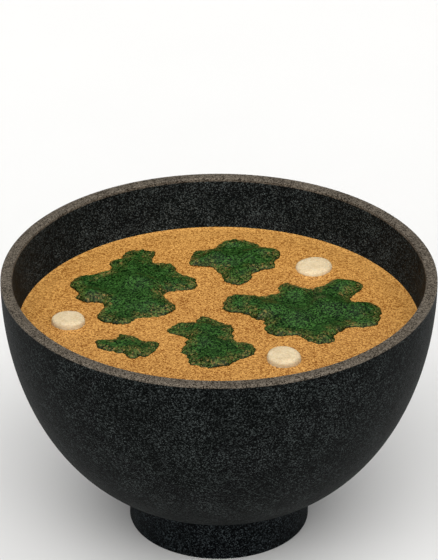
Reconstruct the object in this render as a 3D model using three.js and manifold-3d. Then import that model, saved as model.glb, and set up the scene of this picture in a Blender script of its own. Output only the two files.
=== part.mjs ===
// A bowl of miso soup: a matt black footed bowl with a grey lip, broth up to 15 mm below the lip,
// five leaves of wakame lying on the broth and three small rounds of tofu floating in it.
// Millimetres, +Z up. The origin is the centre of the foot's underside, on the table.
// -Y is the side of the bowl nearest to the person eating, and +X is on their right.
import * as THREE from "three";
import { mergeVertices } from "three/addons/utils/BufferGeometryUtils.js";
import Module from "manifold-3d";

// ---- Bowl ----
const RIM_RADIUS = 57.5; // outside, at the lip
const BOWL_HEIGHT = 73.1;
const LIP_THICKNESS = 3.1;
const LIP_ROUNDING = 0.5; // of the lip's two edges
const BODY_DEPTH = 65.2; // from the lip down to where the outer curve would close on the axis
const INNER_DEPTH = 62; // from the lip down to the floor of the bowl
const BODY_FULLNESS = 1.97; // how long the wall stays upright below the lip
const BASE_FULLNESS = 2.55; // how round it comes in to the base
const FOOT_RADIUS = 24;
const FOOT_WALL = 4.2;
const FOOT_ROUNDING = 0.7;
const FOOT_FILLET = 1.2; // between the foot and the body
const RECESS_DEPTH = 6; // of the hollow inside the foot ring
const INNER_RADIUS = RIM_RADIUS - LIP_THICKNESS;

// ---- Broth ----
const BROTH_BELOW_LIP = 14.8;
const BROTH_LEVEL = BOWL_HEIGHT - BROTH_BELOW_LIP;
const GAP = 0.35; // between pieces that touch

// ---- Wakame ----
const LEAF_THICKNESS = 0.8;
const LEAF_TAPER = 1; // how far in from its edge a leaf reaches its thickness
const LEAF_EDGE_LIFT = 0.1; // of a leaf's edge above the broth
const LEAF_MIDDLE_LIFT = 0.4;
const LEAF_ROLL = 2; // how far in from the edge the leaf rises off the broth
const FOLD_SHARPNESS = 1.5; // the higher, the narrower the crests of the folds
const FOLD_BEND = 0.14; // how far the folds wind, in turns of their wave
const EDGE_RUFFLE = 0.2; // up and down
const EDGE_RUFFLES = 9; // round a leaf
const POCKET_DEPTH = 0.6; // of the broth's hollow under a leaf
const CUTTER_TOP = 5; // how far a cutting tool stands out of the broth

// The outline of each leaf is a smooth curve through points given from its centre.
// A fold is a wave across the leaf: [heading in degrees, wavelength, height, shift in turns].
// detail is the number of spokes, and of rings from the middle of one face to that of the other.
const LEAVES = [
  {
    name: "wakame_left",
    centre: [-23.5, 20],
    outline: [
      [17, 4.5], [13, 7.5], [10, 13], [5.5, 13.5], [6, 19.5], [-1, 20], [-3, 15.5], [-6, 13.5], [-6, 9.5],
      [-10, 7], [-15, 5], [-16.5, 1], [-14, -4], [-15, -6], [-12, -8.5], [-8.5, -8.5], [-7, -11],
      [-9, -16], [-6.5, -19], [-1, -20], [2, -17], [8, -16], [12, -12], [9, -5.5], [10.5, -2.5], [17, -1],
    ],
    folds: [[25, 15, 1.5, 0.1], [118, 22, 0.9, 0.35]],
    detail: [56, 10],
  },
  {
    name: "wakame_back",
    centre: [5.5, 35],
    outline: [
      [11, 2.5], [10.5, 5.5], [6, 7.5], [4.5, 9.5], [-0.5, 11], [-4.5, 10], [-7, 6], [-12, 4.5],
      [-13.5, -1.5], [-12.5, -3.5], [-7, -4.5], [-4, -11.5], [-0.5, -14], [3, -11.5], [3.5, -8],
      [6.5, -5.5], [9.5, -4.5], [9.5, -1],
    ],
    folds: [[150, 12, 1.2, 0.6], [60, 17, 0.7, 0.2]],
    detail: [48, 8],
  },
  {
    name: "wakame_right",
    centre: [25, 7],
    outline: [
      [17.5, 2], [12.5, 4], [10, 6.5], [13.5, 12.5], [12, 15.5], [6, 16.5], [3, 13.5], [-1.5, 12],
      [-6.5, 15], [-9, 13.5], [-9.5, 9.5], [-14.5, 7.5], [-21, 8], [-23.5, 5.5], [-23.5, 0],
      [-18.5, -1.5], [-15.5, -4.5], [-13, -5.5], [-13, -10.5], [-9, -13.5], [-4.5, -13], [-1.5, -16],
      [1.5, -17.5], [5.5, -16.5], [5.5, -13], [9.5, -9], [15, -8.5], [17.5, -5.5],
    ],
    folds: [[100, 14, 1.6, 0.3], [10, 24, 1, 0.8]],
    detail: [56, 10],
  },
  {
    name: "wakame_front",
    centre: [-1.5, -10],
    outline: [
      [6.5, 1], [5, 4], [5.5, 8], [2.5, 10.5], [-0.5, 13], [-3.5, 14], [-5, 10.5], [-9, 10.5],
      [-12.5, 6.5], [-7, 2.5], [-7.5, -1], [-8.5, -4.5], [-7, -7], [-6.5, -10.5], [-3.5, -12.5],
      [-1, -13], [3.5, -12], [6, -9.5], [10.5, -6], [11, -2.5], [9, 0],
    ],
    folds: [[20, 11, 1.2, 0.45], [95, 18, 0.8, 0.1]],
    detail: [48, 8],
  },
  {
    name: "wakame_small",
    centre: [-24, -11.5],
    outline: [
      [8, 1.5], [4, 3], [2.5, 4.5], [-2, 6], [-3.5, 4], [-8, 3], [-8, 0.5], [-7, -2], [-3, -3.5],
      [-0.5, -4.5], [0.5, -6.5], [2, -7], [3.5, -5.5], [5, -6], [7, -3], [8.5, 0],
    ],
    folds: [[70, 9, 0.8, 0.7], [160, 14, 0.4, 0.2]],
    detail: [36, 6],
  },
];

// ---- Tofu ----
const TOFU_HEIGHT = 6.4;
const TOFU_SQUARENESS = 6; // 2 would be an ellipsoid, more is nearer to a cylinder
const TOFU_UNEVENNESS = 0.03; // of its radius
const TOFU = [
  { name: "tofu_back", centre: [25.6, 30.2], radius: 4.95, above: 1.6, turn: 0.3 },
  { name: "tofu_left", centre: [-39.8, 0.5], radius: 4.35, above: 2.1, turn: 1.7 },
  { name: "tofu_front", centre: [16.9, -18.9], radius: 4.6, above: 2.2, turn: 3.9 },
];

// ---- Facets ----
const TURNED_SEGMENTS = 64;
const OUTER_WALL_STEPS = 13;
const INNER_WALL_STEPS = 12;
const BROTH_STEPS = 10;
const ROUNDING_STEPS = 2;
const TOFU_DETAIL = [24, 10];

const MATERIALS = {
  bowl: new THREE.MeshStandardMaterial({ color: 0x1c1f1f, roughness: 0.6, metalness: 0 }),
  broth: new THREE.MeshStandardMaterial({ color: 0xbf8947, roughness: 0.25, metalness: 0 }),
  wakame: new THREE.MeshStandardMaterial({ color: 0x2f4721, roughness: 0.35, metalness: 0 }),
  tofu: new THREE.MeshStandardMaterial({ color: 0xe3cda8, roughness: 0.45, metalness: 0 }),
};

const wasm = await Module();
wasm.setup();

// A closed geometry as a manifold-3d solid, for cutting.
function toSolid(geometry) {
  const bare = geometry.clone();
  bare.deleteAttribute("normal");
  bare.deleteAttribute("uv");
  const merged = mergeVertices(bare, 1e-4);
  return new wasm.Manifold(
    new wasm.Mesh({
      numProp: 3,
      vertProperties: merged.attributes.position.array,
      triVerts: new Uint32Array(merged.index.array),
    }),
  );
}

// A manifold-3d solid as a geometry.
function toGeometry(solid) {
  const mesh = solid.getMesh();
  const geometry = new THREE.BufferGeometry();
  geometry.setAttribute("position", new THREE.BufferAttribute(mesh.vertProperties, mesh.numProp));
  geometry.setIndex(new THREE.BufferAttribute(mesh.triVerts, 1));
  geometry.computeVertexNormals();
  return geometry;
}

// A solid turned about +Z from a profile of [radius, height] points.
function turned(profile) {
  const points = profile.map(([radius, height]) => new THREE.Vector2(radius, height));
  return new THREE.LatheGeometry(points, TURNED_SEGMENTS).rotateX(Math.PI / 2);
}

// Profile points on an arc, from one angle to another in degrees.
function arc(centreRadius, centreHeight, radius, from, to) {
  return Array.from({ length: ROUNDING_STEPS + 1 }, (_, i) => {
    const angle = THREE.MathUtils.degToRad(THREE.MathUtils.lerp(from, to, i / ROUNDING_STEPS));
    return [centreRadius + radius * Math.cos(angle), centreHeight + radius * Math.sin(angle)];
  });
}

// The bowl's wall curve: nearly upright at the lip, rounding in to the axis at the given depth.
function wallRadius(height, topRadius, depth) {
  const share = Math.max(0, BOWL_HEIGHT - height) / depth;
  return topRadius * Math.max(0, 1 - share ** BODY_FULLNESS) ** (1 / BASE_FULLNESS);
}

// The height at which that curve has a given radius.
function wallHeight(radius, topRadius, depth) {
  return BOWL_HEIGHT - depth * (1 - (radius / topRadius) ** BASE_FULLNESS) ** (1 / BODY_FULLNESS);
}

// Points of the wall curve between two heights, closer together where it rounds in to the base.
function wallCurve(topRadius, depth, from, to, steps) {
  const turnAt = (height) => Math.acos(Math.min(1, (BOWL_HEIGHT - height) / depth));
  return Array.from({ length: steps + 1 }, (_, i) => {
    const height = BOWL_HEIGHT - depth * Math.cos(THREE.MathUtils.lerp(turnAt(from), turnAt(to), i / steps));
    return [wallRadius(height, topRadius, depth), height];
  });
}

// The profile runs from the middle of the recess round the foot, up the outside, over the lip and down.
function bowlGeometry() {
  const recessRadius = FOOT_RADIUS - FOOT_WALL;
  const filletRadius = FOOT_RADIUS + FOOT_FILLET;
  const bodyStart = wallHeight(filletRadius, RIM_RADIUS, BODY_DEPTH);
  const lipEdge = BOWL_HEIGHT - LIP_ROUNDING;
  const outerLip = wallRadius(lipEdge, RIM_RADIUS, BODY_DEPTH) - LIP_ROUNDING;
  const innerLip = wallRadius(lipEdge, INNER_RADIUS, INNER_DEPTH) + LIP_ROUNDING;
  return turned([
    [0, RECESS_DEPTH],
    ...arc(recessRadius - FOOT_ROUNDING, RECESS_DEPTH - FOOT_ROUNDING, FOOT_ROUNDING, 90, 0),
    ...arc(recessRadius + FOOT_ROUNDING, FOOT_ROUNDING, FOOT_ROUNDING, 180, 270),
    ...arc(FOOT_RADIUS - FOOT_ROUNDING, FOOT_ROUNDING, FOOT_ROUNDING, 270, 360),
    ...arc(filletRadius, bodyStart - FOOT_FILLET, FOOT_FILLET, 180, 120),
    ...wallCurve(RIM_RADIUS, BODY_DEPTH, bodyStart, lipEdge, OUTER_WALL_STEPS),
    ...arc(outerLip, lipEdge, LIP_ROUNDING, 30, 90),
    ...arc(innerLip, lipEdge, LIP_ROUNDING, 90, 150),
    ...wallCurve(INNER_RADIUS, INNER_DEPTH, lipEdge, BOWL_HEIGHT - INNER_DEPTH, INNER_WALL_STEPS),
  ]);
}

// The leaf's outline as evenly spaced points from its centre, one for each spoke.
function leafOutline(leaf) {
  const [spokes] = leaf.detail;
  const corners = leaf.outline.map(([x, y]) => new THREE.Vector3(x, y, 0));
  return new THREE.CatmullRomCurve3(corners, true, "catmullrom").getSpacedPoints(spokes).slice(0, spokes);
}

const LEAF_CENTRE = new THREE.Vector2(0, 0);

// Height of a leaf's folds at a point given from its centre. Each wave winds along its own crests.
function foldHeight(leaf, x, y) {
  return leaf.folds.reduce((total, [heading, wavelength, height, shift]) => {
    const spot = new THREE.Vector2(x, y).rotateAround(LEAF_CENTRE, THREE.MathUtils.degToRad(-heading));
    const winding = FOLD_BEND * Math.sin((2 * Math.PI * spot.y) / wavelength);
    const wave = Math.sin(2 * Math.PI * (spot.x / wavelength + shift + winding));
    return total + height * ((1 + wave) / 2) ** FOLD_SHARPNESS;
  }, 0);
}

// A sphere drawn out into a thin wavy leaf: its upper and lower halves become the two faces.
function leafGeometry(leaf) {
  const [spokes, rings] = leaf.detail;
  const outline = leafOutline(leaf);
  const geometry = new THREE.SphereGeometry(1, spokes, rings);
  for (let ring = 0; ring <= rings; ring++) {
    const fromTop = (2 * ring) / rings;
    const share = 1 - Math.abs(1 - fromTop);
    for (let spoke = 0; spoke <= spokes; spoke++) {
      const point = outline[spoke % spokes].clone().multiplyScalar(share);
      const fromEdge = Math.min(...outline.map((edge) => edge.distanceTo(point)));
      const ruffle = EDGE_RUFFLE * share ** 2 * Math.sin((2 * Math.PI * EDGE_RUFFLES * spoke) / spokes);
      const risen = (1 - Math.exp(-fromEdge / LEAF_ROLL)) * foldHeight(leaf, point.x, point.y);
      const lift = THREE.MathUtils.lerp(LEAF_MIDDLE_LIFT, LEAF_EDGE_LIFT, share) + ruffle + risen;
      const half = (LEAF_THICKNESS / 2) * Math.min(1, fromEdge / LEAF_TAPER) * Math.sign(1 - fromTop);
      geometry.attributes.position.setXYZ(ring * (spokes + 1) + spoke, point.x, point.y, lift + half);
    }
  }
  return geometry.translate(...leaf.centre, BROTH_LEVEL);
}

// The flat-floored hollow in the broth that a leaf lies in: its outline, moved outwards by the gap.
function leafPocket(leaf) {
  const outline = leafOutline(leaf);
  const grown = outline.map((point, i) => {
    const along = outline[(i + 1) % outline.length].clone().sub(outline.at(i - 1)).setLength(GAP);
    return new THREE.Vector2(point.x + along.y, point.y - along.x);
  });
  const settings = { depth: POCKET_DEPTH + CUTTER_TOP, bevelEnabled: false };
  const cutter = new THREE.ExtrudeGeometry(new THREE.Shape(grown), settings);
  return cutter.translate(...leaf.centre, BROTH_LEVEL - POCKET_DEPTH);
}

// A short round of tofu with soft edges, made larger all round by grow.
function tofuGeometry(round, grow = 0) {
  const geometry = new THREE.SphereGeometry(1, ...TOFU_DETAIL).rotateX(Math.PI / 2);
  const position = geometry.attributes.position;
  const half = TOFU_HEIGHT / 2 + grow;
  for (let i = 0; i < position.count; i++) {
    const angle = Math.atan2(position.getY(i), position.getX(i));
    const rise = THREE.MathUtils.clamp(position.getZ(i), -1, 1);
    const spread = Math.sqrt(1 - rise ** 2) ** (2 / TOFU_SQUARENESS);
    const wander = Math.sin(2 * angle + round.turn) + Math.sin(3 * angle - round.turn) / 2;
    const out = (round.radius + grow) * spread * (1 + TOFU_UNEVENNESS * wander);
    const up = half * Math.sign(rise) * Math.abs(rise) ** (2 / TOFU_SQUARENESS);
    position.setXYZ(i, out * Math.cos(angle), out * Math.sin(angle), up);
  }
  return geometry.translate(...round.centre, BROTH_LEVEL + round.above - TOFU_HEIGHT / 2);
}

// The broth fills the bowl to its level, and is cut round the leaves and the tofu.
function brothGeometry() {
  const [radius, depth] = [INNER_RADIUS - GAP, INNER_DEPTH - GAP];
  const curve = wallCurve(radius, depth, BOWL_HEIGHT - depth, BROTH_LEVEL, BROTH_STEPS);
  const whole = toSolid(turned([...curve, [0, BROTH_LEVEL]]));
  const cutters = [...LEAVES.map(leafPocket), ...TOFU.map((round) => tofuGeometry(round, GAP))];
  return toGeometry(cutters.reduce((broth, cutter) => broth.subtract(toSolid(cutter)), whole));
}

const soup = new THREE.Group();

function addPiece(name, geometry, material) {
  const mesh = new THREE.Mesh(geometry, material);
  mesh.name = name;
  soup.add(mesh);
}

addPiece("bowl", bowlGeometry(), MATERIALS.bowl);
addPiece("broth", brothGeometry(), MATERIALS.broth);
for (const leaf of LEAVES) addPiece(leaf.name, leafGeometry(leaf), MATERIALS.wakame);
for (const round of TOFU) addPiece(round.name, tofuGeometry(round), MATERIALS.tofu);

export default soup;
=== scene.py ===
import math

import bpy
import numpy as np
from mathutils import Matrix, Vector


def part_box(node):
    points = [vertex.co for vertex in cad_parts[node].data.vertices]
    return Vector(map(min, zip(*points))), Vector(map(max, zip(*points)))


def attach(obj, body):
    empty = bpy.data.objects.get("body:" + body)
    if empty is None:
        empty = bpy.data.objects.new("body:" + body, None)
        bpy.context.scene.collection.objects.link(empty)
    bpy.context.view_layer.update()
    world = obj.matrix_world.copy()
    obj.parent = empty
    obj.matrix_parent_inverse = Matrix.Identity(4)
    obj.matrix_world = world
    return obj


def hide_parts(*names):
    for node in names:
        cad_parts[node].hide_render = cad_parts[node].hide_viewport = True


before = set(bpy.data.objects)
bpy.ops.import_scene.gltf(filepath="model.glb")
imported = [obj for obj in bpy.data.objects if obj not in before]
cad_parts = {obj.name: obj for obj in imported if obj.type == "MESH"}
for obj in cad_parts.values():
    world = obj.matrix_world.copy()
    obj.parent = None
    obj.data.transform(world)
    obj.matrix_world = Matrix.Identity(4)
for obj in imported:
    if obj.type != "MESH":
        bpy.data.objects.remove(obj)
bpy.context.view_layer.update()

MM = 0.001
BOWL_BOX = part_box("bowl")
BROTH_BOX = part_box("broth")

# ---- Bowl ----
RIM_RADIUS = BOWL_BOX[1][0]
BOWL_HEIGHT = BOWL_BOX[1][2]
LIP_THICKNESS = 3.1 * MM
LIP_ROUNDING = 0.5 * MM
BODY_DEPTH = 65.2 * MM  # from the lip down to where the outer curve would close on the axis
INNER_DEPTH = 62 * MM  # from the lip down to the floor of the bowl
BODY_FULLNESS = 1.97  # how long the wall stays upright below the lip
BASE_FULLNESS = 2.55  # how round it comes in to the base
FOOT_RADIUS = 24 * MM
FOOT_WALL = 4.2 * MM
FOOT_ROUNDING = 0.7 * MM
FOOT_FILLET = 1.2 * MM  # between the foot and the body
FOOT_WALL_STEP = 2 * MM  # between the rings of points up the outside of the foot
FOOT_WALL_STEPS = 4
RECESS_DEPTH = 6 * MM  # of the hollow inside the foot ring
RECESS_ROOF_RINGS = (0.3, 0.6, 0.85)  # shares of the recess's radius
INNER_RADIUS = RIM_RADIUS - LIP_THICKNESS
BARE_LIP_OUTSIDE = 0.75 * MM  # how far the bare grey of the lip reaches down
BARE_LIP_INSIDE = 0.9 * MM
BOWL_SEGMENTS = 288
ROUNDING_STEPS = 8
WALL_STEPS = 72

# ---- Broth ----
BROTH_LEVEL = BROTH_BOX[1][2]
INTO_WALL = 0.3 * MM  # the broth reaches into the wall, so that no gap shows
# Each pair is a value where the broth meets something, and how far out the value fades.
WALL_MENISCUS = (0.5 * MM, 0.9 * MM)
TOFU_MENISCUS = (0.45 * MM, 0.8 * MM)
LEAF_MENISCUS = (0.12 * MM, 0.6 * MM)
WALL_PAINTED_LIGHT = (0.13, 8 * MM), (0.2, 0.4 * MM)  # painted light: paler broth towards the wall that lifts the wall's shade, and a thin painted highlight along the meniscus
BROTH_SWELL = (6 * MM, 0.015 * MM, 71)  # width, height and seed of its slight unevenness
BROTH_SKIN = 1 * MM  # from its level down to where its plain body starts
BROTH_RINGS = 136
BROTH_SEGMENTS = 480
BROTH_WALL_STEPS = 14

# ---- Wakame ----
LEAF_THICKNESS = 0.55  # all of a leaf's sizes are in millimetres
LEAF_TAPER = 0.6  # how far in from its edge a leaf reaches its thickness
LEAF_EDGE_LIFT = 0.1  # of a leaf's edge above the broth
LEAF_MIDDLE_LIFT = 0.4
LEAF_ROLL = 2  # how far in from the edge the leaf rises off the broth
FOLD_SHARPNESS = 1.5  # the higher, the narrower the crests of the folds
FOLD_BEND = 0.14  # how far the folds wind, in turns of their wave
LEAF_SPOKES = 560
LEAF_RINGS = 40
LEAST_TURN = 0.0004  # from one spoke to the next, so that no part of a leaf lies over another
LEAF_RING_CROWDING = 1.35  # above 1, the rings lie closer together towards the edge
CURVE_STEPS = 24  # of an outline's curve between two of its points
# The outline of each leaf is a smooth curve through points given from its centre.
# A fold is a wave across the leaf: [heading in degrees, wavelength, height, shift in turns].
LEAVES = {
    "wakame_left": {
        "seed": 100,
        "centre": (-23.5, 20),
        "outline": [
            (17, 4.5), (13, 7.5), (10, 13), (5.5, 13.5), (6, 19.5), (-1, 20), (-3, 15.5), (-6, 13.5),
            (-6, 9.5), (-10, 7), (-15, 5), (-16.5, 1), (-14, -4), (-15, -6), (-12, -8.5), (-8.5, -8.5),
            (-7, -11), (-9, -16), (-6.5, -19), (-1, -20), (2, -17), (8, -16), (12, -12), (9, -5.5),
            (10.5, -2.5), (17, -1),
        ],
        "folds": [[25, 15, 1.5, 0.1], [118, 22, 0.9, 0.35]],
    },
    "wakame_back": {
        "seed": 200,
        "centre": (5.5, 35),
        "outline": [
            (11, 2.5), (10.5, 5.5), (6, 7.5), (4.5, 9.5), (-0.5, 11), (-4.5, 10), (-7, 6), (-12, 4.5),
            (-13.5, -1.5), (-12.5, -3.5), (-7, -4.5), (-4, -11.5), (-0.5, -14), (3, -11.5), (3.5, -8),
            (6.5, -5.5), (9.5, -4.5), (9.5, -1),
        ],
        "folds": [[150, 12, 1.2, 0.6], [60, 17, 0.7, 0.2]],
    },
    "wakame_right": {
        "seed": 300,
        "centre": (25, 7),
        "outline": [
            (17.5, 2), (12.5, 4), (10, 6.5), (13.5, 12.5), (12, 15.5), (6, 16.5), (3, 13.5), (-1.5, 12),
            (-6.5, 15), (-9, 13.5), (-9.5, 9.5), (-14.5, 7.5), (-21, 8), (-23.5, 5.5), (-23.5, 0),
            (-18.5, -1.5), (-15.5, -4.5), (-13, -5.5), (-13, -10.5), (-9, -13.5), (-4.5, -13),
            (-1.5, -16), (1.5, -17.5), (5.5, -16.5), (5.5, -13), (9.5, -9), (15, -8.5), (17.5, -5.5),
        ],
        "folds": [[100, 14, 1.6, 0.3], [10, 24, 1, 0.8]],
    },
    "wakame_front": {
        "seed": 400,
        "centre": (-1.5, -10),
        "outline": [
            (6.5, 1), (5, 4), (5.5, 8), (2.5, 10.5), (-0.5, 13), (-3.5, 14), (-5, 10.5), (-9, 10.5),
            (-12.5, 6.5), (-7, 2.5), (-7.5, -1), (-8.5, -4.5), (-7, -7), (-6.5, -10.5), (-3.5, -12.5),
            (-1, -13), (3.5, -12), (6, -9.5), (10.5, -6), (11, -2.5), (9, 0),
        ],
        "folds": [[20, 11, 1.2, 0.45], [95, 18, 0.8, 0.1]],
    },
    "wakame_small": {
        "seed": 500,
        "centre": (-24, -11.5),
        "outline": [
            (8, 1.5), (4, 3), (2.5, 4.5), (-2, 6), (-3.5, 4), (-8, 3), (-8, 0.5), (-7, -2), (-3, -3.5),
            (-0.5, -4.5), (0.5, -6.5), (2, -7), (3.5, -5.5), (5, -6), (7, -3), (8.5, 0),
        ],
        "folds": [[70, 9, 0.8, 0.7], [160, 14, 0.4, 0.2]],
    },
}
# Relief of a leaf beyond its folds, in layers of [feature size, height].
PUCKERS = [[5.0, 0.26], [2.6, 0.17], [1.3, 0.08], [0.7, 0.03]]
PUCKER_ROLL = 1.2  # how far in from the edge the puckers reach their height
EDGE_RUFFLES = [[4.0, 0.26], [1.6, 0.12]]
PUCKER_SEEDS = 10  # how far these seeds lie after those of a leaf's ragged edge
RUFFLE_SEEDS = 20
RAGGED_EDGE = [[1.3, 0.24], [0.65, 0.3]]  # in and out across the outline

# ---- Tofu ----
TOFU_HEIGHT = 6.4  # all of the tofu's sizes are in millimetres
TOFU_SQUARENESS = 6  # 2 would be an ellipsoid, more is nearer to a cylinder
TOFU_UNEVENNESS = 0.03  # of its radius
TOFU_SPOKES = 128
TOFU_RINGS = 72
TOFU_RELIEF = [[3.0, 0.05], [1.0, 0.02]]
SKIN_SHEAR = (3, 2)  # carries the relief down the side of a round, so that it doesn't run in stripes
TOFU = {
    "tofu_back": {"seed": 700, "centre": (25.6, 30.2), "radius": 4.95, "above": 1.6, "turn": 0.3},
    "tofu_left": {"seed": 710, "centre": (-39.8, 0.5), "radius": 4.35, "above": 2.1, "turn": 1.7},
    "tofu_front": {"seed": 720, "centre": (16.9, -18.9), "radius": 4.6, "above": 2.2, "turn": 3.9},
}

# ---- Stage, in metres ----
FLOOR_HALF_WIDTH = 6.0
CAMERA_PLACE = (0, -1.149, 0.7134)
CAMERA_PITCH = math.radians(29.18)  # downwards
CAMERA_LENS = 321.6  # in millimetres, as the picture's height inside the camera is
PICTURE_HEIGHT = 36
CAMERA_REACH = 20  # the furthest that it sees
SURROUND_COLOUR = (0.93, 0.96, 1, 1)
# The heights run from 0 at the horizon to 1 overhead. Between the first two values, the strength falls
# from the third value to the fourth.
SURROUND_GLOW = 0.06, 0.15, 1.1, 0.15
# For each light, the direction that it comes from, its spread in degrees, and its power.
LIGHTS = {
    "key": ((-0.35, -1, 0.95), 70, 1.9),
    "fill": ((0.6, -0.8, 0.95), 80, 1.1),
    "top": ((0.05, -0.05, 1), 80, 1.5),
}


def srgb(red, green, blue):
    """A colour given in the 0 to 255 of a screen, as the linear values that a shader takes."""
    channels = (value / 255 for value in (red, green, blue))
    return tuple(c / 12.92 if c <= 0.04045 else ((c + 0.055) / 1.055) ** 2.4 for c in channels) + (1,)


# Each pair is the darkest and the palest grain of a surface.
BOWL_GRAINS = srgb(0, 1, 1), srgb(60, 65, 64)
# the foot's grains are painted shade: the same lacquer, darker where the bowl shades its foot
FOOT_SHADE_GRAINS = srgb(0, 1, 2), srgb(55, 61, 63)
# the inside's grains are painted light: the same lacquer, paler and cooler to lift the shade and the broth's
# warm bounce inside the bowl
INSIDE_LIGHT_GRAINS = srgb(8, 11, 11), srgb(74, 80, 79)
LIP_GRAINS = srgb(18, 12, 4), srgb(118, 109, 97)
BROTH_GRAINS = srgb(117, 62, 0), srgb(222, 166, 90)
HEART_GRAINS = srgb(0, 18, 0), srgb(62, 104, 44)
OLIVE_GRAINS = srgb(8, 22, 0), srgb(94, 110, 52)
LEAF_DARK = srgb(10, 24, 6)
LEAF_TAN = srgb(126, 104, 58)
TOFU_GRAINS = srgb(182, 158, 118), srgb(224, 204, 168)
LONE_GRAINS = 4.6  # the higher, the fewer pale grains there are among the dark
# How wide the grains are, and how far apart the pores lie, in millimetres.
BOWL_GRAIN = 0.26
BROTH_GRAIN = 0.29
LEAF_GRAIN = 0.32
LEAF_FLECK = 0.38
TOFU_GRAIN = 0.36
TOFU_PORE = 0.55
FLOOR_PALE = srgb(232, 231, 229)
FLOOR_SHADE = srgb(229, 228, 226)


# ---------------------------------------------------------------- shapes

def soft_noise(x, y, cell, seed):
    """Smooth noise from -1 to 1 with features about one cell wide. x, y and cell share a unit."""
    size = 128
    lattice = np.random.default_rng(seed).uniform(-1, 1, (size, size))
    column, row = np.floor(x / cell).astype(int), np.floor(y / cell).astype(int)
    across, along = x / cell - column, y / cell - row
    across = across * across * (3 - 2 * across)
    along = along * along * (3 - 2 * along)

    def at(i, j):
        return lattice[i % size, j % size]

    near = at(column, row) * (1 - across) + at(column + 1, row) * across
    far = at(column, row + 1) * (1 - across) + at(column + 1, row + 1) * across
    return near * (1 - along) + far * along


def relief(x, y, layers, seed):
    """Several layers of soft noise, each [feature size, height] in millimetres. x and y in millimetres."""
    return sum(height * soft_noise(x, y, cell, seed + i) for i, (cell, height) in enumerate(layers))


def make_piece(name, vertices, faces, material, node):
    """A smooth-shaded mesh piece that rides on the part and stands for one CAD node."""
    mesh = bpy.data.meshes.new(name)
    mesh.from_pydata([tuple(v) for v in vertices], [], faces)
    mesh.shade_smooth()
    mesh.materials.append(material)
    piece = bpy.data.objects.new(name, mesh)
    bpy.context.scene.collection.objects.link(piece)
    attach(piece, "root")
    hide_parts(node)
    return piece


def ring_faces(first, second, count):
    """Quads between two rings of vertices, given by the index of each ring's first vertex."""
    return [(first + i, first + (i + 1) % count, second + (i + 1) % count, second + i) for i in range(count)]


def cap_faces(centre, ring, count, flip=False):
    """Triangles between one vertex and a ring round it."""
    pairs = ((ring + i, ring + (i + 1) % count) for i in range(count))
    return [(centre, b, a) if flip else (centre, a, b) for a, b in pairs]


def closed_rings(rings, start, end, downwards=True):
    """Vertices and faces of a closed body: rings of points stacked between a start and an end point.
    The faces look outwards. downwards is False where the rings run up the outside of the body."""
    count = len(rings[0])
    vertices = np.concatenate([np.array([start]), *rings, np.array([end])])
    faces = cap_faces(0, 1, count, flip=True)
    for i in range(len(rings) - 1):
        faces += ring_faces(1 + i * count, 1 + (i + 1) * count, count)
    faces += cap_faces(len(vertices) - 1, 1 + (len(rings) - 1) * count, count)
    return vertices, [tuple(reversed(face)) for face in faces] if downwards else faces


def turned_rings(profile, segments):
    """A ring of points about +Z for each [radius, height] of a profile."""
    angle = np.linspace(0, 2 * math.pi, segments, endpoint=False)
    return [np.stack([r * np.cos(angle), r * np.sin(angle), np.full(segments, z)], 1) for r, z in profile]


def arc(centre_radius, centre_height, radius, start, end):
    """Profile points on an arc, from one angle to another in degrees."""
    angles = np.radians(np.linspace(start, end, ROUNDING_STEPS + 1))
    return [(centre_radius + radius * math.cos(a), centre_height + radius * math.sin(a)) for a in angles]


def wall_radius(height, top_radius, depth):
    """The bowl's wall curve: nearly upright at the lip, rounding in to the axis at the given depth."""
    share = max(0.0, BOWL_HEIGHT - height) / depth
    return top_radius * max(0.0, 1 - share**BODY_FULLNESS) ** (1 / BASE_FULLNESS)


def wall_height(radius, top_radius, depth):
    """The height at which that curve has a given radius."""
    return BOWL_HEIGHT - depth * (1 - (radius / top_radius) ** BASE_FULLNESS) ** (1 / BODY_FULLNESS)


def wall_curve(top_radius, depth, start, end, steps):
    """Points of the wall curve between two heights, closer together where it rounds in to the base."""
    turns = [math.acos(min(1.0, (BOWL_HEIGHT - height) / depth)) for height in (start, end)]
    heights = BOWL_HEIGHT - depth * np.cos(np.linspace(*turns, steps + 1))
    return [(wall_radius(height, top_radius, depth), height) for height in heights]


# ---------------------------------------------------------------- materials

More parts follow.
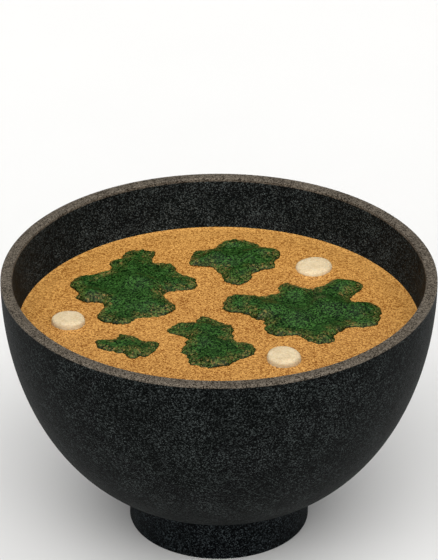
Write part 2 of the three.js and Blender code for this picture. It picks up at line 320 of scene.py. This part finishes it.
class Surface:
    """A procedural material. Its textures are laid out in millimetres of the object."""

    def __init__(self, name, **fixed):
        self.material = bpy.data.materials.new(name)
        self.material.use_nodes = True
        self.tree = self.material.node_tree
        self.shader = self.tree.nodes["Principled BSDF"]
        for socket, value in fixed.items():
            self.shader.inputs[socket.replace("_", " ")].default_value = value
        coordinates = self.tree.nodes.new("ShaderNodeTexCoord")
        to_mm = self.tree.nodes.new("ShaderNodeMapping")
        to_mm.inputs["Scale"].default_value = (1 / MM,) * 3
        self.tree.links.new(coordinates.outputs["Object"], to_mm.inputs["Vector"])
        self.place = to_mm.outputs["Vector"]

    def shifted(self, seed):
        """The place on the object, moved so that each seed gives a pattern of its own."""
        return self.add("ShaderNodeVectorMath", {0: self.place, 1: (seed, seed * 2, -seed)}, operation="ADD")

    def add(self, kind, inputs, output=0, **settings):
        """A node with its inputs set or linked, and one of its outputs."""
        node = self.tree.nodes.new(kind)
        for key, value in settings.items():
            setattr(node, key, value)
        for socket, value in inputs.items():
            if isinstance(value, bpy.types.NodeSocket):
                self.tree.links.new(value, node.inputs[socket])
            else:
                node.inputs[socket].default_value = value
        return node.outputs[output]

    def noise(self, size, detail=2.0, distortion=0.0, seed=0.0):
        """Noise from 0 to 1, with features about that many millimetres wide."""
        place = self.shifted(seed)
        inputs = {"Vector": place, "Scale": 1 / size, "Detail": detail, "Distortion": distortion}
        return self.add("ShaderNodeTexNoise", inputs)

    def spots(self, size):
        """Distance to the nearest of scattered points that lie about that many millimetres apart."""
        return self.add("ShaderNodeTexVoronoi", {"Vector": self.place, "Scale": 1 / size})

    def grains(self, size, seed=0.0):
        """A value from 0 to 1 of its own for each grain, which are about that many millimetres wide."""
        inputs = {"Vector": self.shifted(seed), "Scale": 1 / size}
        colour = self.add("ShaderNodeTexVoronoi", inputs, "Color")
        return self.add("ShaderNodeSeparateColor", {"Color": colour})

    def attribute(self, name):
        """A value that the piece's own points carry."""
        return self.add("ShaderNodeAttribute", {}, "Fac", attribute_name=name)

    def spread(self, value, low, high, to_low=0.0, to_high=1.0):
        """value between low and high, spread smoothly from to_low to to_high."""
        inputs = {"Value": value, "From Min": low, "From Max": high, "To Min": to_low, "To Max": to_high}
        return self.add("ShaderNodeMapRange", inputs, interpolation_type="SMOOTHSTEP")

    def maths(self, operation, first, second):
        """Two values combined by an operation of a Math node."""
        return self.add("ShaderNodeMath", {0: first, 1: second}, operation=operation)

    def mix(self, share, first, second):
        """A colour between two."""
        inputs = {0: share, 6: first, 7: second}
        return self.add("ShaderNodeMix", inputs, 2, data_type="RGBA")

    def bump(self, height, depth, under=None):
        """A normal for relief of that depth in millimetres, over another normal."""
        inputs = {"Height": height, "Distance": depth * MM, "Strength": 1.0}
        if under is not None:
            inputs["Normal"] = under
        return self.add("ShaderNodeBump", inputs)

    def finish(self, colour, roughness=None, normal=None):
        """Links the colour, and the roughness and the relief where they vary, and gives the material."""
        self.tree.links.new(colour, self.shader.inputs["Base Color"])
        if roughness is not None:
            self.tree.links.new(roughness, self.shader.inputs["Roughness"])
        if normal is not None:
            self.tree.links.new(normal, self.shader.inputs["Normal"])
        return self.material


def bowl_material():
    """Matt black stone-grained lacquer, worn to a warm grey on the lip; painted shade darkens the foot,
    painted light lifts the inside.
    """
    s = Surface("stone_lacquer", Specular_IOR_Level=0.03)
    cloud = s.spread(s.noise(7, detail=2, seed=5), 0.3, 0.7, -0.06, 0.06)
    grain = s.maths("ADD", s.grains(BOWL_GRAIN), cloud)
    foot, inside = s.spread(s.attribute("foot"), 0.4, 0.6), s.spread(s.attribute("inside"), 0.4, 0.6)
    # painted shade: the foot is painted darker than the body
    body = [s.mix(foot, *pair) for pair in zip(BOWL_GRAINS, FOOT_SHADE_GRAINS)]
    # painted light: the inside is painted paler and cooler to lift its shade
    body = [s.mix(inside, *pair) for pair in zip(body, INSIDE_LIGHT_GRAINS)]
    edge = s.maths("ADD", s.attribute("lip"), s.maths("MULTIPLY", s.noise(0.8, seed=3), 0.25))
    bare = s.spread(edge, 1.05, 1.2, 1.0, 0.0)
    colour = s.mix(bare, s.mix(s.maths("POWER", grain, LONE_GRAINS), *body), s.mix(grain, *LIP_GRAINS))
    roughness = s.spread(grain, 0.0, 1.0, 0.5, 0.7)
    normal = s.bump(s.noise(3.2, detail=2, seed=7), 0.12)
    return s.finish(colour, roughness, s.bump(s.noise(0.5, detail=2), 0.12, normal))


def broth_material():
    """Cloudy golden brown broth with fine grains of miso in it, wet. It is painted paler near the wall to
    lift the wall's shade, with a painted highlight along the meniscus.
    """
    s = Surface("miso_broth", Specular_IOR_Level=0.2)
    cloud = s.noise(9, detail=4, distortion=1.2, seed=4)
    # painted light near the wall: paler broth lifting the wall's shade, and a painted highlight along the
    # meniscus
    drift_and_wall_light = s.maths("ADD", s.spread(cloud, 0.3, 0.7, -0.05, 0.05), s.attribute("painted_wall_light"))
    colour = s.mix(s.maths("ADD", s.grains(BROTH_GRAIN), drift_and_wall_light), *BROTH_GRAINS)
    roughness = s.spread(cloud, 0.3, 0.7, 0.22, 0.32)
    return s.finish(colour, roughness, s.bump(s.noise(0.6), 0.02))


def leaf_material():
    """Deep green seaweed, wet: olive and flecked with tan towards its edge, with a thin dark rim."""
    s = Surface("wakame", Specular_IOR_Level=0.1)
    grain = s.grains(LEAF_GRAIN)
    patch = s.spread(s.noise(4.5, detail=3, distortion=0.6), 0.3, 0.7, -0.08, 0.08)
    wander = s.spread(s.noise(3, detail=3, seed=2), 0.2, 0.8, 2.5, -2.5)
    thin = s.spread(s.maths("ADD", s.attribute("from_edge"), wander), 0.0, 4.0, 1.0, 0.0)
    olive = [s.mix(thin, *pair) for pair in zip(HEART_GRAINS, OLIVE_GRAINS)]
    colour = s.mix(s.maths("POWER", s.maths("ADD", grain, patch), 2.0), *olive)
    tan = s.maths("MULTIPLY", thin, s.spread(s.grains(LEAF_FLECK, seed=5), 0.87, 0.91))
    colour = s.mix(tan, colour, LEAF_TAN)
    rim = s.maths("ADD", s.attribute("from_edge"), s.maths("MULTIPLY", s.noise(1.4, seed=12), 0.6))
    colour = s.mix(s.spread(rim, 0.3, 0.7, 0.85, 0.0), colour, LEAF_DARK)
    roughness = s.spread(grain, 0.0, 1.0, 0.26, 0.4)
    normal = s.bump(s.noise(1.1, detail=2, distortion=0.8, seed=3), 0.1)
    return s.finish(colour, roughness, s.bump(s.noise(0.5, seed=6), 0.04, normal))


def tofu_material():
    """Creamy soft tofu with fine pores, tinted by the broth."""
    s = Surface("tofu", Specular_IOR_Level=0.2, Subsurface_Weight=0.25, Subsurface_Scale=1.0 * MM)
    s.shader.inputs["Subsurface Radius"].default_value = (1.0, 0.75, 0.5)
    cloud = s.noise(2.2, detail=3)
    pores = s.spread(s.spots(TOFU_PORE), 0.08, 0.3)
    grain = s.maths("MULTIPLY", s.maths("ADD", s.grains(TOFU_GRAIN), pores), 0.5)
    colour = s.mix(s.maths("ADD", grain, s.spread(cloud, 0.3, 0.7, -0.15, 0.15)), *TOFU_GRAINS)
    return s.finish(colour, s.spread(cloud, 0.3, 0.7, 0.4, 0.55), s.bump(pores, 0.03))


def floor_material():
    """A pale matt floor with a faint unevenness."""
    s = Surface("pale_floor", Roughness=0.9, Specular_IOR_Level=0.1)
    return s.finish(s.mix(s.noise(60, detail=2), FLOOR_PALE, FLOOR_SHADE))


# ---------------------------------------------------------------- pieces

def point_attribute(piece, name, values):
    """Gives each point of a piece a value, for its material to read."""
    attribute = piece.data.attributes.new(name, "FLOAT", "POINT")
    attribute.data.foreach_set("value", np.asarray(values, np.float32))


def make_bowl():
    """The whole bowl turned as one piece, from the recess in its foot over the lip and down inside."""
    recess_radius = FOOT_RADIUS - FOOT_WALL
    fillet_radius = FOOT_RADIUS + FOOT_FILLET
    body_start = wall_height(fillet_radius, RIM_RADIUS, BODY_DEPTH)
    lip_edge = BOWL_HEIGHT - LIP_ROUNDING
    outer_lip = wall_radius(lip_edge, RIM_RADIUS, BODY_DEPTH) - LIP_ROUNDING
    inner_lip = wall_radius(lip_edge, INNER_RADIUS, INNER_DEPTH) + LIP_ROUNDING
    floor = BOWL_HEIGHT - INNER_DEPTH
    foot = [
        *[(recess_radius * share, RECESS_DEPTH) for share in RECESS_ROOF_RINGS],
        *arc(recess_radius - FOOT_ROUNDING, RECESS_DEPTH - FOOT_ROUNDING, FOOT_ROUNDING, 90, 0),
        *arc(recess_radius + FOOT_ROUNDING, FOOT_ROUNDING, FOOT_ROUNDING, 180, 270),
        *arc(FOOT_RADIUS - FOOT_ROUNDING, FOOT_ROUNDING, FOOT_ROUNDING, 270, 360),
        *[(FOOT_RADIUS, FOOT_ROUNDING + i * FOOT_WALL_STEP) for i in range(1, FOOT_WALL_STEPS + 1)],
        *arc(fillet_radius, body_start - FOOT_FILLET, FOOT_FILLET, 180, 120),
    ]
    outside = wall_curve(RIM_RADIUS, BODY_DEPTH, body_start, lip_edge, WALL_STEPS)
    lip = [*arc(outer_lip, lip_edge, LIP_ROUNDING, 5, 90), *arc(inner_lip, lip_edge, LIP_ROUNDING, 90, 175)]
    inside = wall_curve(INNER_RADIUS, INNER_DEPTH, lip_edge, floor, WALL_STEPS)[:-1]
    profile = [*foot, *outside, *lip, *inside]
    rings = turned_rings(profile, BOWL_SEGMENTS)
    vertices, faces = closed_rings(rings, (0, 0, RECESS_DEPTH), (0, 0, floor), downwards=False)
    piece = make_piece("soup_bowl", vertices, faces, bowl_material(), "bowl")
    radius = np.hypot(vertices[:, 0], vertices[:, 1])
    below = BOWL_HEIGHT - vertices[:, 2]
    middle_of_lip = (outer_lip + inner_lip) / 2
    point_attribute(piece, "lip", below / np.where(radius > middle_of_lip, BARE_LIP_OUTSIDE, BARE_LIP_INSIDE))
    on_foot = np.zeros(len(vertices))
    on_foot[: 1 + len(foot) * BOWL_SEGMENTS] = 1
    # marks where the foot's painted shade goes
    point_attribute(piece, "foot", on_foot)
    on_inside = np.zeros(len(vertices))
    on_inside[-1 - len(inside) * BOWL_SEGMENTS :] = 1
    # marks where the inside's painted light goes
    point_attribute(piece, "inside", on_inside)


def smooth_outline(corners):
    """A closed smooth curve through the corners, as one evenly spaced point for each spoke."""
    corner = np.array(corners, float)
    before, here, after, beyond = (np.roll(corner, turn, 0)[:, None] for turn in (1, 0, -1, -2))
    t = np.linspace(0, 1, CURVE_STEPS, endpoint=False)[None, :, None]
    bend = (2 * before - 5 * here + 4 * after - beyond) * t**2
    twist = (3 * here - before - 3 * after + beyond) * t**3
    curve = (here + 0.5 * ((after - before) * t + (bend + twist))).reshape(-1, 2)
    return evenly(np.vstack([curve, curve[:1]]))


def evenly(path):
    """One evenly spaced point for each spoke along a closed path, which ends where it starts."""
    length = np.r_[0, np.cumsum(np.hypot(*np.diff(path, axis=0).T))]
    even = np.linspace(0, length[-1], LEAF_SPOKES, endpoint=False)
    return np.stack([np.interp(even, length, path[:, axis]) for axis in (0, 1)], 1)


def ragged_outline(leaf):
    """The leaf's outline with its frayed edge, moved in and out across the curve. Its points always
    turn onwards about the leaf's centre, by LEAST_TURN at least."""
    smooth = smooth_outline(leaf["outline"])
    along = np.roll(smooth, -1, 0) - np.roll(smooth, 1, 0)
    outwards = np.stack([along[:, 1], -along[:, 0]], 1) / np.hypot(*along.T)[:, None]
    frayed = smooth + outwards * relief(smooth[:, 0], smooth[:, 1], RAGGED_EDGE, leaf["seed"])[:, None]
    reach, least_turns = np.hypot(*frayed.T), LEAST_TURN * np.arange(len(frayed))
    turn = np.maximum.accumulate(np.unwrap(np.arctan2(*frayed.T[::-1])) - least_turns) + least_turns
    return np.stack([reach * np.cos(turn), reach * np.sin(turn)], 1)


def distance_to(outline, x, y):
    """How far points lie from the nearest point of an outline."""
    return np.sqrt(((x[..., None] - outline[:, 0]) ** 2 + (y[..., None] - outline[:, 1]) ** 2).min(-1))


def fold_height(leaf, x, y):
    """Height of the leaf's folds, x and y from its centre. Each wave winds along its own crests."""
    total = np.zeros_like(x)
    for heading, wavelength, height, shift in leaf["folds"]:
        turn = math.radians(heading)
        across, along = x * math.cos(turn) + y * math.sin(turn), y * math.cos(turn) - x * math.sin(turn)
        winding = FOLD_BEND * np.sin(2 * math.pi * along / wavelength)
        wave = np.sin(2 * math.pi * (across / wavelength + shift + winding))
        total += height * ((1 + wave) / 2) ** FOLD_SHARPNESS
    return total


def make_leaf(name, leaf, material):
    """A thin wavy sheet with a frayed, ruffled edge at the waterline."""
    outline = ragged_outline(leaf)
    share = 1 - (1 - np.arange(1, LEAF_RINGS + 1) / LEAF_RINGS)[:, None] ** LEAF_RING_CROWDING
    x, y = share * outline[:, 0], share * outline[:, 1]
    from_edge = np.stack([distance_to(outline, *ring) for ring in zip(x, y)])
    ruffles = share**2 * relief(outline[:, 0], outline[:, 1], EDGE_RUFFLES, leaf["seed"] + RUFFLE_SEEDS)
    folds = (1 - np.exp(-from_edge / LEAF_ROLL)) * fold_height(leaf, x, y)
    puckers = (1 - np.exp(-from_edge / PUCKER_ROLL)) * relief(x, y, PUCKERS, leaf["seed"] + PUCKER_SEEDS)
    middle = LEAF_MIDDLE_LIFT + (LEAF_EDGE_LIFT - LEAF_MIDDLE_LIFT) * share + ruffles + folds + puckers
    half = LEAF_THICKNESS / 2 * np.minimum(1, from_edge / LEAF_TAPER)
    centre = np.array([*leaf["centre"], BROTH_LEVEL / MM])

    def rings(side, numbers):
        return [np.stack([x[i], y[i], middle[i] + side * half[i]], 1) for i in numbers]

    stacked = [*rings(1, range(LEAF_RINGS)), *rings(-1, range(LEAF_RINGS - 2, -1, -1))]
    heart = float(middle[0].mean())
    top, bottom = (0, 0, heart + LEAF_THICKNESS / 2), (0, 0, heart - LEAF_THICKNESS / 2)
    vertices, faces = closed_rings(stacked, top, bottom)
    piece = make_piece(f"{name}_leaf", (vertices + centre) * MM, faces, material, name)
    inwards = np.concatenate([from_edge.ravel(), from_edge[-2::-1].ravel()])
    point_attribute(piece, "from_edge", [inwards.max(), *inwards, inwards.max()])


def tofu_reach(block, angle):
    """How far out a round of tofu reaches at its widest, in millimetres."""
    wander = np.sin(2 * angle + block["turn"]) + np.sin(3 * angle - block["turn"]) / 2
    return block["radius"] * (1 + TOFU_UNEVENNESS * wander)


def make_tofu(name, block, material):
    """A short soft-edged round with a slightly uneven skin."""
    angle = np.linspace(0, 2 * math.pi, TOFU_SPOKES, endpoint=False)
    half_height = TOFU_HEIGHT / 2
    middle = np.array([*block["centre"], (BROTH_LEVEL / MM + block["above"]) - half_height])
    rings = []
    for fall in np.linspace(0, math.pi, TOFU_RINGS + 2)[1:-1]:
        out, up = math.sin(fall), math.cos(fall)
        swell = (abs(out) ** TOFU_SQUARENESS + abs(up) ** TOFU_SQUARENESS) ** (-1 / TOFU_SQUARENESS)
        reach = tofu_reach(block, angle) * out * swell
        height = np.full(TOFU_SPOKES, half_height * up * swell)
        ring = np.stack([reach * np.cos(angle), reach * np.sin(angle), height], 1)
        sheared = [ring[:, axis] + shear * ring[:, 2] for axis, shear in enumerate(SKIN_SHEAR)]
        skin = relief(*sheared, TOFU_RELIEF, block["seed"])
        rings.append(ring * (1 + skin / block["radius"])[:, None])
    vertices, faces = closed_rings(rings, (0, 0, half_height), (0, 0, -half_height))
    make_piece(f"{name}_round", (vertices + middle) * MM, faces, material, name)


def fading(distance, layer):
    """A value that fades with the distance in metres. layer holds the value and how far out it fades."""
    value, reach = layer
    return value * np.exp(-np.abs(distance) / reach)


def broth_height(x, y, wall):
    """The height of the broth's surface, drawn up where it meets the wall, the leaves and the tofu."""
    height = BROTH_LEVEL + fading(wall - np.hypot(x, y), WALL_MENISCUS)
    for leaf in LEAVES.values():
        outline = smooth_outline(leaf["outline"]) + leaf["centre"]
        height += fading(distance_to(outline * MM, x, y), LEAF_MENISCUS)
    for block in TOFU.values():
        dx, dy = x - block["centre"][0] * MM, y - block["centre"][1] * MM
        height += fading(np.hypot(dx, dy) - tofu_reach(block, np.arctan2(dy, dx)) * MM, TOFU_MENISCUS)
    width, swell, seed = BROTH_SWELL
    return height + swell * soft_noise(x, y, width, seed)


def make_broth():
    """The broth: a fine surface that climbs at the wall, over a plain body that reaches into the wall."""
    wall = wall_radius(BROTH_LEVEL + WALL_MENISCUS[0], INNER_RADIUS, INNER_DEPTH)
    edge = wall + INTO_WALL
    angle = np.linspace(0, 2 * math.pi, BROTH_SEGMENTS, endpoint=False)
    top = []
    for radius in np.linspace(0, edge, BROTH_RINGS + 1)[1:]:
        x, y = radius * np.cos(angle), radius * np.sin(angle)
        top.append(np.stack([x, y, broth_height(x, y, wall)], 1))
    depth = INNER_DEPTH + INTO_WALL
    floor = BOWL_HEIGHT - depth
    body_top = BROTH_LEVEL - BROTH_SKIN
    below = wall_curve(INNER_RADIUS + INTO_WALL, depth, body_top, floor, BROTH_WALL_STEPS)[:-1]
    rings = [*top, *turned_rings(below, BROTH_SEGMENTS)]
    zero = np.zeros(1)
    heart = float(broth_height(zero, zero, wall)[0])
    vertices, faces = closed_rings(rings, (0, 0, heart), (0, 0, floor))
    piece = make_piece("miso_broth", vertices, faces, broth_material(), "broth")
    from_wall = wall - np.hypot(vertices[:, 0], vertices[:, 1])
    # how much paler the broth is painted near the wall: painted light lifting the wall's shade, and a painted
    # highlight at the meniscus
    point_attribute(piece, "painted_wall_light", sum(fading(np.maximum(0, from_wall), layer) for layer in WALL_PAINTED_LIGHT))


# ---------------------------------------------------------------- stage

def make_floor():
    """A plain pale floor, wide enough for a view from any side."""
    mesh = bpy.data.meshes.new("floor")
    signs = ((-1, -1), (1, -1), (1, 1), (-1, 1))
    corners = [(x * FLOOR_HALF_WIDTH, y * FLOOR_HALF_WIDTH, 0) for x, y in signs]
    mesh.from_pydata(corners, [], [(0, 1, 2, 3)])
    mesh.materials.append(floor_material())
    floor = bpy.data.objects.new("floor", mesh)
    bpy.context.scene.collection.objects.link(floor)


def soft_light(name, direction, spread, power):
    """A large soft light from far away, so that it lights the floor evenly. spread is in degrees."""
    data = bpy.data.lights.new(name, "SUN")
    data.angle = math.radians(spread)
    data.energy = power
    light = bpy.data.objects.new(name, data)
    light.rotation_euler = Vector(direction).to_track_quat("Z", "Y").to_euler()
    bpy.context.scene.collection.objects.link(light)


def make_lights():
    """The soft lights, and a dim surround that is pale towards the horizon."""
    world = bpy.data.worlds.new("studio")
    world.use_nodes = True
    tree = world.node_tree
    background = tree.nodes["Background"]
    background.inputs["Color"].default_value = SURROUND_COLOUR
    coordinates = tree.nodes.new("ShaderNodeTexCoord")
    height = tree.nodes.new("ShaderNodeSeparateXYZ")
    tree.links.new(coordinates.outputs["Generated"], height.inputs[0])
    glow = tree.nodes.new("ShaderNodeMapRange")
    glow.interpolation_type = "SMOOTHSTEP"
    for socket, value in zip(("From Min", "From Max", "To Min", "To Max"), SURROUND_GLOW):
        glow.inputs[socket].default_value = value
    tree.links.new(height.outputs["Z"], glow.inputs["Value"])
    tree.links.new(glow.outputs[0], background.inputs["Strength"])
    bpy.context.scene.world = world
    for name, (direction, spread, power) in LIGHTS.items():
        soft_light(name, direction, spread, power)


def make_camera():
    """The camera, in front of the bowl and looking down at it."""
    data = bpy.data.cameras.new("camera")
    data.sensor_fit = "VERTICAL"
    data.sensor_height = PICTURE_HEIGHT
    data.lens = CAMERA_LENS
    data.clip_end = CAMERA_REACH
    camera = bpy.data.objects.new("camera", data)
    camera.location = CAMERA_PLACE
    camera.rotation_euler = (math.pi / 2 - CAMERA_PITCH, 0, 0)
    bpy.context.scene.collection.objects.link(camera)
    bpy.context.scene.camera = camera


make_bowl()
make_broth()
wakame = leaf_material()
for node, leaf in LEAVES.items():
    make_leaf(node, leaf, wakame)
tofu = tofu_material()
for node, block in TOFU.items():
    make_tofu(node, block, tofu)
make_floor()
make_lights()
make_camera()
bpy.context.scene.view_settings.view_transform = "Standard"
